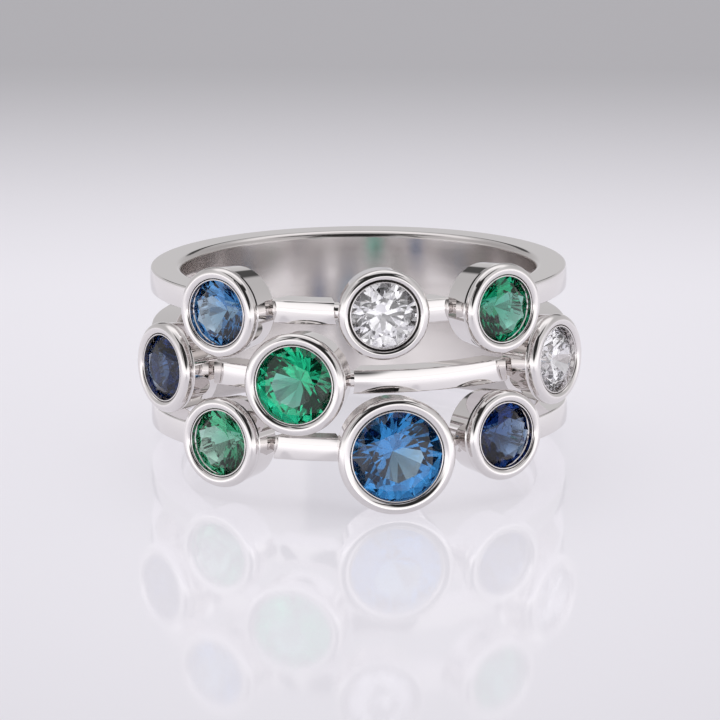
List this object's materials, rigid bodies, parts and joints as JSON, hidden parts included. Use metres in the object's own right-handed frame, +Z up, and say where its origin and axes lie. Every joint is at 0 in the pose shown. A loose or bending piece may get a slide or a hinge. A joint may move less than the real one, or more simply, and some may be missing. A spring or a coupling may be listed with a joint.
{
  "type": "three-strand gemstone ring",
  "caption": "Polished split-band finger ring with round brilliants in open-backed bezel cups, lying on its side.",
  "frame": {"origin": "on the table, under the middle of the ring's own box, with the ring lying on its side", "axes": "+Z up; -Y towards the front of the ring, where the stones are; +X to the right seen from the front"},
  "size_m": [0.0216, 0.0228, 0.0119],
  "materials": {
    "white_gold": "mirror-polished rhodium-plated white metal",
    "white_stone": "cut and polished, colourless",
    "blue_stone": "cut and polished, mid blue",
    "cornflower_stone": "cut and polished, cornflower blue",
    "navy_stone": "cut and polished, very dark blue",
    "deep_green_stone": "cut and polished, deep green",
    "bright_green_stone": "cut and polished, bright green",
    "light_green_stone": "cut and polished, light green"
  },
  "bodies": {
    "root": {"split_band_with_cups": "white_gold", "stone_top_left_blue": "blue_stone", "stone_top_middle_white": "white_stone", "stone_top_right_green": "deep_green_stone", "stone_middle_left_navy": "navy_stone", "stone_middle_green": "bright_green_stone", "stone_middle_right_white": "white_stone", "stone_bottom_left_green": "light_green_stone", "stone_bottom_blue": "cornflower_stone", "stone_bottom_right_navy": "navy_stone"}
  },
  "joints": []
}
